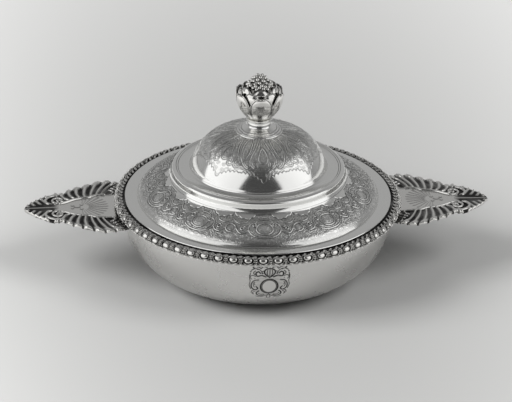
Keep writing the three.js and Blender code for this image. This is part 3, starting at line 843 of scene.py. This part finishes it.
bandDesign = {
    "name": "lidBandChasing",
    "repeats": 10,
    "firstTurn": -1.5,  # degrees
    "grid": (172, 98),
    "runs": bandRun([56.6, 77.2]),
    "unroll": 69,  # radius at which the design was drawn flat
    "strapWide": 1.15,
    "fineWide": 0.7,
    "relief": 0.28,
    "groundStain": 0.03,
    "lineStain": 0.1,  # more in the lines that are cut in matted ground
}
domeDesign = {
    "name": "lidDomeChasing",
    "repeats": 8,
    "firstTurn": 0,
    "grid": (130, 156),
    "runs": domeRun([14.3, 43]),
    "stretch": 1.25,  # the marks' degrees were set out for ten repeats
    "strapWide": 1.05,
    "fineWide": 0.65,
    "relief": 0.26,
    "groundStain": 0.06,
    "lineStain": 0,
}
chasing = {
    "lineDepth": 0.13,
    "lineStain": 0.75,
    "punchPitch": 1.25,
    "fade": 0.03,  # share of a zone's width over which the work runs out at its borders
}


def makeLidShell():
    form = lidForm
    zones = [design["runs"] for design in (bandDesign, domeDesign)]
    covered = np.any([(surfaceRun > low) & (surfaceRun < high) for low, high in zones], axis=0)
    outer = surface - surfaceNormal * form["sunk"] * covered[:, None]
    inner = (surface - surfaceNormal * form["wall"])[::-3]
    rim = [(77.5, 51.02), (84.6, 51), (85.05, 50.9), (85.28, 50.6), (85.3, 50.3), (85.3, 49.5), (85.1, 49.3),
           (76.4, 49.3)]
    crown = surface[3, 1]
    start = [(form["bore"], crown - 0.02)]
    profile = start + [p for p in outer.tolist() if p[0] > 3] + rim + [p for p in inner.tolist() if p[0] > 3]
    return spinUp("lidRaised", profile + [(form["bore"], crown - form["wall"])] + start, form["segments"])


# One repeat of a chased zone: relief(turn, run) gives the height in mm, the stain and the matting.
# The repeats are joined in two halves, each light enough for a file of its own.
def chasedZone(design, relief):
    repeats = design["repeats"]
    sector, u, v = flatGrid(design["name"], design["grid"])
    low, high = design["runs"]
    run = low + (1 - v) / 2 * (high - low)
    turn = u * pi / repeats
    lift, hollow, ground = relief(turn, run)
    border = step(0, chasing["fade"], (1 - np.abs(v)) / 2)
    radius, height = overOutline(lidOutline, run, lift * border)
    wrapRound(sector, radius, radians(design["firstTurn"] - 90) - turn, height)
    setMask(sector, "hollow", hollow * border)
    setMask(sector, "ground", ground * border)
    sectors = repeatRound(sector, repeats)
    return [joinAll(part, design["name"] + word, 80, 0.01)
            for part, word in ((sectors[:repeats // 2], "Front"), (sectors[repeats // 2:], "Back"))]


# A strap's cross-section in low relief: flat and bright, with an engraved line down each side
def strapwork(distance, width):
    return strap(distance, width * 0.6, 0.3), strap(np.abs(distance - width / 2), 0.4, 0.3)


# Straps, fine straps and other raised work over a ground that is sunk and matted where plain is 1
def chased(design, across, out, straps, fine, others, plain, inside):
    onStrap, edges = strapwork(lineDistance(across, out, straps), design["strapWide"])
    onFine, fineEdges = strapwork(lineDistance(across, out, fine), design["fineWide"])
    height = np.maximum.reduce([onStrap, 0.8 * onFine] + others)
    cut = (1 - onStrap) * np.maximum(edges, 0.6 * fineEdges * (1 - onFine))
    depth = ((height - 1) * design["relief"] * plain - chasing["lineDepth"] * cut) * inside
    dark = design["groundStain"] * plain * (1 - height)
    dark = dark + (chasing["lineStain"] + design["lineStain"] * plain) * cut
    return depth, np.clip(dark * inside, 0, 1), np.clip(1 - height, 0, 1) * inside * plain


# Crossed rows of punch marks
def lattice(across, out):
    turns = tau / chasing["punchPitch"]
    return waves((across + out) * turns) * waves((across - out) * turns)


# One half of a repeat of the band, drawn flat in mm across from its middle and up from its foot; the first
# strap is the scalloped edge of the matted ground
def bandLines():
    straps = smoothLines([
        [(0, 24.3), (3.5, 24.3), (6, 24.1), (7.6, 22.4), (9.4, 21.9), (11.2, 20.4), (13.4, 21.4),
         (15.6, 21.2), (17.8, 22.6), (19.9, 22.8), (21.7, 24.6)],
        [(0, 5.6), (4, 6), (8, 8), (10.2, 11.6), (9.8, 15), (7.6, 16.9)],
        [(0, 20.8), (2.8, 20.4), (5, 18.9), (5.4, 17.4)],
        [(10.2, 11.6), (12.4, 9), (15.4, 8.6), (18, 11.6)],
        [(10.9, 19.2), (13, 16.9), (16.4, 16), (19.4, 17.4), (21.7, 20.2)],
    ])
    straps += [ring(0, 12.4, 5.3, 4.5), ring(21.7, 12, 3.1, 3.1), spiral(6.9, 15.2, 1.9, 0.5, 60, 400),
               spiral(13.9, 12.2, 2, 0.5, 150, -250)]
    fine = smoothLines([
        [(0, 1), (21.7, 1)], [(1.2, 3.6), (2, 2.6), (1.6, 1.6)],
        [(3.6, 1.7), (5, 2.4), (6.6, 3.4), (8, 3.2)], [(9.4, 3.5), (10.4, 2.5), (11.8, 2), (13, 2.8)],
        [(14.4, 1.8), (15.6, 2.8), (17.2, 3.4)], [(18.6, 3.4), (19.6, 2.4), (21, 1.8)],
        [(0, 4.4), (2.4, 4.2), (4.4, 5), (5.4, 4.2)], [(7.4, 4.8), (9, 4.2), (10.8, 5.2), (12.2, 4.4)],
        [(13.2, 4.6), (15, 4.2), (16.6, 5.2), (18, 4.6)], [(0, 19), (0, 22.6)], [(0, 20.4), (1.5, 22.6)],
        [(3.2, 22.4), (4.8, 21.4), (6.4, 19.6)], [(8.2, 18.8), (9.4, 17.2), (11.6, 14.8)],
        [(8.6, 10.6), (7.4, 9.4), (6, 9)], [(12.2, 10.4), (12.8, 13.6), (11.4, 14.8)],
        [(15.6, 13.9), (17.4, 14.6), (18.6, 13.8)], [(14.4, 18.4), (16.6, 18.2), (18.6, 19.8)],
        [(21.7, 16.6), (21.7, 18.6)], [(20.4, 15.8), (19.8, 17)],
        [(12.6, 6.6), (14.2, 7.2), (16.4, 6.6), (18.6, 8), (20.4, 7.2)],
        [(18, 8.6), (20.2, 8.4), (21.7, 9)], [(3.4, 7.4), (5, 8.2), (6.8, 10.2), (7.6, 12.4)],
    ])
    fine += [ring(0, 12.4, 3.6, 2.9), ring(21.7, 12, 1.5, 1.5), spiral(20.3, 22.2, 1.2, 0.4, -60, -320),
             spiral(11.4, 6.6, 1.1, 0.4, 0, 300)]
    fine += [spiral(x, y, 1.15, 0.3, turn, turn + way, 12) for x, y, turn, way in [
        (3.4, 22.4, 200, 320), (8, 19.9, 90, -320), (12.4, 19.6, 20, 300), (15.6, 19, 180, -300),
        (18.4, 20.6, 60, 300), (17.2, 12, 120, 320), (11.6, 10.2, 300, -300), (6.6, 6.4, 0, 300),
        (16, 10.4, 240, 300), (19.6, 14.8, 30, -300), (9, 6, 150, 280), (14.6, 6, 20, 300),
        (2.6, 3.1, 60, 300), (7, 2.8, 200, -300), (11.4, 3.4, 20, 300), (16, 2.6, 160, -300),
        (20, 3.6, 90, 300)]]
    return straps, fine


def bandRelief(turn, run):
    across = np.abs(turn) * bandDesign["unroll"]
    up = bandDesign["runs"][1] - run
    straps, fine = bandLines()
    inside = step(-0.1, 0.1, np.interp(across, straps[0][:, 0], straps[0][:, 1]) - up)
    fan = np.arctan2(across, up - 9.6)
    shell = waves(fan * 15) * step(0.95, 0.72, np.hypot(across / 3.4, (up - 12.4) / 2.7))
    lower = step(4.6, 3.6, up)
    hatch = (0.6 + 0.3 * waves((across + 0.55 * up) * tau / 1.45)) * lower
    punched = 0.35 * lattice(across * 0.9, up) * (1 - lower)
    plain = 0.2 + 0.8 * step(2.5, 6, up)
    return chased(bandDesign, across, up, straps, fine, [0.7 * shell, hatch, punched], plain, inside)


# Across and out in mm from the dome's crown, laid flat
def domeMark(radius, degrees):
    reach = float(domeRun(radius))
    turn = radians(degrees)
    return (reach * sin(turn), reach * cos(turn))


# One half of a repeat of the dome, as marks of radius and degrees; the first strap is its scalloped edge
def domeLines():
    def place(radius, degrees):
        return domeMark(radius, degrees * domeDesign["stretch"])

    straps, fine = [smoothLines([[place(*mark) for mark in line] for line in drawn]) for drawn in ([
        [(41.6, 0), (41.3, 1.6), (40.2, 2.8), (40.5, 4.2), (39.4, 5.6), (39.8, 7.2), (38.7, 8.8),
         (39.3, 10.4), (38.4, 12), (39, 13.6), (38.3, 15.2), (38.9, 16.6), (38.6, 18)],
        [(15, 4), (20, 6), (25, 8.2), (29, 10.6), (33, 11.6), (35.6, 9.4)],
        [(15, 14.5), (21, 12.8), (27, 13.4), (31, 15.2), (34, 18)],
        [(35.6, 9.4), (36.4, 7), (35.4, 5), (33.8, 5.8), (34, 7.6)],
        [(24, 0), (27, 2.8), (31, 4.2), (33.6, 2.6), (34.4, 0)],
        [(34, 18), (35.8, 15.4), (36.6, 12.6), (35.6, 10.8), (34.6, 11.2)],
    ], [
        [(15.5, 0), (20, 0), (24, 0)], [(15.5, 9), (21, 9.6), (26, 11), (29.5, 13)],
        [(15.5, 18), (21, 18), (28, 18)], [(15.5, 1.9), (20, 2.8), (24, 3.8), (27, 5.6)],
        [(21, 3.6), (25, 5.4), (29, 7.4), (31.5, 8.6)], [(24, 16.4), (28, 16.4), (31, 17.2)],
        [(41, 0), (40, 2.8), (38.4, 5), (37.6, 7.4)], [(36.6, 18), (36.9, 15.6), (37.4, 13.4)],
        [(27, 0), (31.5, 0)], [(29.5, 0), (31, 1.9)], [(30.4, 8.2), (31.8, 6.6), (33, 7.4)],
        [(31.5, 13.4), (33.2, 14.6), (35, 13.6)],
    ])]
    fine += [spiral(*place(radius, degrees), 1.3, 0.35, turn, turn + way, 12)
             for radius, degrees, turn, way in [
                 (19, 8, 0, 300), (24, 1.9, 90, -300), (26.5, 7, 200, 300), (22.5, 11.4, 40, -300),
                 (29, 15.4, 120, 300), (33, 13, 300, -300), (31.4, 7.6, 60, 300), (36.6, 3.2, 180, -300),
                 (25.6, 15.6, 0, 300), (38.9, 3, 90, 280), (31, 17, 220, -300), (28.2, 9.4, 150, 300),
                 (38.2, 8.6, 330, 280), (33.6, 16.6, 10, 300)]]
    return straps, fine


def domeRelief(turn, run):
    across = run * np.sin(np.abs(turn))
    out = run * np.cos(turn)
    degrees = np.degrees(np.abs(turn))
    straps, fine = domeLines()
    edgeTurns = np.degrees(np.arctan2(straps[0][:, 0], straps[0][:, 1]))
    order = np.argsort(edgeTurns)
    inside = step(-0.1, 0.1, np.interp(degrees, edgeTurns[order], np.hypot(*straps[0].T)[order]) - run)
    palmFoot = domeMark(38.6, 0)
    fanReach = reachFrom(across, out, palmFoot)
    palm = waves(np.arctan2(across - palmFoot[0], palmFoot[1] - out) * 11)
    palm = palm * step(5, 4.4, fanReach) * step(0.8, 1.3, fanReach)
    fromRosette = reachFrom(across, out, domeMark(35.9, 22.5))
    rosette = strap(np.abs(fromRosette - 1.4), 0.5, 0.3) + strap(fromRosette, 1, 0.5)
    near = step(34, 30, run)
    rays = 0.25 * waves(degrees * tau / np.where(run > 22, 2.25, 4.5)) * near
    punched = 0.4 * lattice(across, out) * (1 - near)
    # towards its edge the ground is left polished, with only lines cut in it
    plain = 1 - 0.9 * step(30, 36, run)
    return chased(domeDesign, across, out, straps, fine, [0.75 * palm, np.clip(rosette, 0, 1), rays, punched],
                  plain, inside)


lidShell = makeLidShell()
shellPoints = points(lidShell)
shellReach = np.hypot(*shellPoints[:, :2].T)
# painted shade in the stepped ring's two fine grooves
grooves = (np.abs(shellReach[:, None] - lidForm["grooves"]) < 0.16).any(1) & (shellPoints[:, 2] > 70.5)
setMask(lidShell, "hollow", 0.75 * grooves)
finish(lidShell, polishedSilver, "lid_body", "chased_silver", "lid")
for part in chasedZone(bandDesign, bandRelief) + chasedZone(domeDesign, domeRelief):
    finish(part, chasedSilver, "lid_body", "chased_silver")
bezelProfile = [(81.1, 42.3), (82.3, 42.3), (82.3, 49.3), (81.1, 49.3), (81.1, 42.3)]
bezel = spinUp("bezelRing", bezelProfile, lidForm["segments"])
finish(bezel, polishedSilver, "lid_body", "polished_silver", "lid_bezel")
print("lid raised and chased")


# Finial; heights are above the dome's crown

finialForm = {
    "crown": 96.4,
    "petals": 6,
    "collarSegments": 160,
    "collarGrooves": [14.15, 12.75, 11.3, 7.3],
    "berries": 38,
    "cluster": (5.1, 5.65),  # half width and half height
    "clusterAt": 31.25,
    "core": (5, 5.6),  # the same of what carries them
    "coreAt": 31.5,
    "skirt": 32,  # berries round its foot
    "skirtReach": 6,
    "skirtWide": 2,
    "skirtAt": 32.4,
    "skirtDrop": 2.4,
    "berryRadius": 1.2,
    "growsFrom": 26,  # height that the berries point away from
}

crown = finialForm["crown"]

collarProfile = smoothLine([(2.1, -0.02), (8, -0.2), (14.3, -1.1)], 3).tolist() + [
    (14.7, -0.95), (14.92, -0.55), (14.88, -0.2), (14.7, 0.02), (14.45, 0.1), (14.25, 0.02), (14.1, -0.02),
    (13.95, 0.22), (13.7, 0.42), (12.95, 0.72), (12.8, 0.6), (12.65, 0.72), (12.5, 0.98), (12.2, 1.12),
    (11.5, 1.4), (11.35, 1.28), (11.2, 1.4), (11.05, 1.62), (10.7, 1.78), (9.8, 2.15), (8.8, 2.6),
    (8.1, 3.05), (7.6, 3.65), (7.25, 4.5), (7.1, 5.3), (7.05, 6), (7.05, 6.8), (7.1, 7.3), (7.3, 7.45),
    (8, 7.6), (8.45, 7.9), (8.45, 8.15), (8.1, 8.4), (7.6, 8.45), (2.1, 8.45), (2.1, -0.02)]
collar = spinUp("collarTurned", [(r, crown + z) for r, z in collarProfile], finialForm["collarSegments"])
collarReach = np.hypot(*points(collar)[:, :2].T)
# painted shade and polish dried dark in the turned grooves
shadedAndStained = (np.abs(collarReach[:, None] - finialForm["collarGrooves"]) < 0.13).any(1)
setMask(collar, "hollow", 0.9 * shadedAndStained)
finish(collar, polishedSilver, "lid_body", "polished_silver", "finial_collar")

petalForm = {
    "grid": (26, 34),
    "thickness": 0.8,
    "lip": 0.55,  # how far in from its edge a petal starts to roll out
    "lipSink": 0.3,  # how far the rolled lip hangs
    "dipAt": 0.65,  # the groove inside the lip, and its depth
    "dipDepth": 0.25,
    "footHalf": 4.6,
    "widest": 0.57,  # share of the height at which a petal is widest; above it the outline is half an oval
    "closeFrom": 0.6,  # and at which the upper rows start to close like a bud
    "edgeBow": 0.5,
    "reach": [(0, 6.8), (0.06, 7.8), (0.13, 9.5), (0.3, 12.2), (0.5, 14.2), (0.68, 15.1), (0.85, 15.5),
              (1, 15.2)],  # outwards against the height from foot to lip as a share
}

petalRows = [
    {"name": "outerPetals", "node": "finial_outer_petals", "foot": 8.2, "lip": 27.1,
     "scale": 1, "half": 7.5, "turn": -90, "lean": 0, "curl": 0.6, "darkTo": 0.06},
    {"name": "middlePetals", "node": "finial_middle_petals", "foot": 9.1, "lip": 29,
     "scale": 0.9, "half": 6.6, "turn": -60, "lean": 1.8, "curl": 0.4, "darkTo": 0.6},
    {"name": "innerPetals", "node": "finial_inner_petals", "foot": 10.7, "lip": 31.4,
     "scale": 0.8, "half": 7, "turn": -90, "lean": 2.8, "curl": 0.3, "darkTo": 0.5},
]


def makePetals(row):
    form = petalForm
    petal, u, v = flatGrid(row["name"], form["grid"])
    scale, widest = row["scale"], form["widest"]
    up = np.sin((v + 1) / 2 * pi / 2)
    reach = smoothLine(form["reach"], 4)
    foot = form["footHalf"] * scale
    spreadOut = foot + (row["half"] - foot) * np.sin(np.clip(up / widest, 0, 1) * pi / 2)
    oval = np.clip(1 - (np.clip(up - widest, 0, 1) / (1 - widest)) ** 2, 0.002, 1) ** 0.5
    halfWide = np.where(up < widest, spreadOut, row["half"] * oval)
    radius = np.interp(up, reach[:, 0], reach[:, 1]) * scale
    turn = u * halfWide / np.maximum(radius, 6)
    tall = row["lip"] - row["foot"]
    toEdge = np.minimum(halfWide * (1 - np.abs(u)), (1 - up) * tall)
    roll = step(form["lip"], 0, toEdge) * step(0.3, 0.6, up)
    dip = strap(toEdge - form["dipAt"], 0.5, 0.4) * step(0.1, 0.4, up)
    over = np.clip((up - form["closeFrom"]) / (1 - form["closeFrom"]), 0, 1)
    radius = radius - row["lean"] * (1 - np.sqrt(1 - over**2)) - form["edgeBow"] * u**2 * scale
    radius = radius + row["curl"] * roll - form["dipDepth"] * dip
    wrapRound(petal, radius, turn, crown + row["foot"] + tall * up - form["lipSink"] * roll)
    # painted shade down between the petals, where no cloth reaches, and in the groove inside each lip
    low = step(row["darkTo"], row["darkTo"] - 0.12, up)
    deep = step(0.72, 0.98, np.abs(u)) * step(0.7, 0.45, up)
    setMask(petal, "hollow", np.maximum.reduce([0.4 * low, 0.6 * deep, 0.9 * dip]) * (1 - roll))
    petal.data.transform(Matrix.Rotation(radians(row["turn"]), 4, "Z"))
    pick(petal)
    wall = petal.modifiers.new("wall", "SOLIDIFY")
    wall.thickness = form["thickness"] * mm
    wall.offset = -1
    smoother = petal.modifiers.new("smooth", "SUBSURF")
    smoother.levels = smoother.render_levels = 1
    for modifier in ("wall", "smooth"):
        bpy.ops.object.modifier_apply(modifier=modifier)
    return joinAll(repeatRound(petal, finialForm["petals"]), row["name"], 60, 0.0005)


# The middle of each berry: a spiral over the cluster, then another for the skirt round its foot
def berryCentres():
    form = finialForm
    half, tall = form["cluster"]
    goldenTurn = pi * (3 - sqrt(5))
    centres = []
    for i in range(form["berries"]):
        lift = 1 - 1.5 * (i + 0.5) / form["berries"]
        centres.append((goldenTurn * i, half * sqrt(1 - lift * lift), form["clusterAt"] + tall * lift))
    for i in range(form["skirt"]):
        out = (i + 0.5) / form["skirt"]
        reach = form["skirtReach"] + form["skirtWide"] * out**0.8
        centres.append((goldenTurn * i, reach, form["skirtAt"] - form["skirtDrop"] * out))
    return np.array([(reach * cos(turn), reach * sin(turn), height) for turn, reach, height in centres])


def makeBerries():
    form = finialForm
    pick()
    bpy.ops.mesh.primitive_uv_sphere_add(segments=32, ring_count=20, radius=mm)
    core = bpy.context.object
    half, tall = form["core"]
    core.data.transform(Matrix.Translation((0, 0, (crown + form["coreAt"]) * mm))
                        @ Matrix.Diagonal((half, half, tall, 1)))
    centres = berryCentres()
    parts = [core]
    for x, y, z in centres:
        pick()
        bpy.ops.mesh.primitive_ico_sphere_add(subdivisions=3, radius=form["berryRadius"] * mm)
        parts.append(bpy.context.object)
        parts[-1].data.transform(Matrix.Translation(Vector((x, y, z + crown)) * mm))
    cluster = joinAll(parts, "berryCluster", 60, 0.0005)
    # each berry is painted in shade on the side that faces the others
    coords = points(cluster) - [0, 0, crown]
    near = np.argmin(((coords[:, None] - centres) ** 2).sum(2), 1)
    away = centres - [0, 0, form["growsFrom"]]
    away /= np.linalg.norm(away, axis=1)[:, None]
    facing = ((coords - centres[near]) * away[near]).sum(1) / form["berryRadius"]
    setMask(cluster, "hollow", 1 - step(-0.1, 0.4, facing))
    return cluster


for row in petalRows:
    finish(makePetals(row), castSilver, "lid_body", "cast_silver", row["node"])
finish(makeBerries(), castSilver, "lid_body", "cast_silver", "finial_berries")
for node in ("finial_stud", "finial_washer", "finial_nut"):
    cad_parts[node].data.materials.clear()
    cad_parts[node].data.materials.append(polishedSilver)
print("finial cast")

pick()
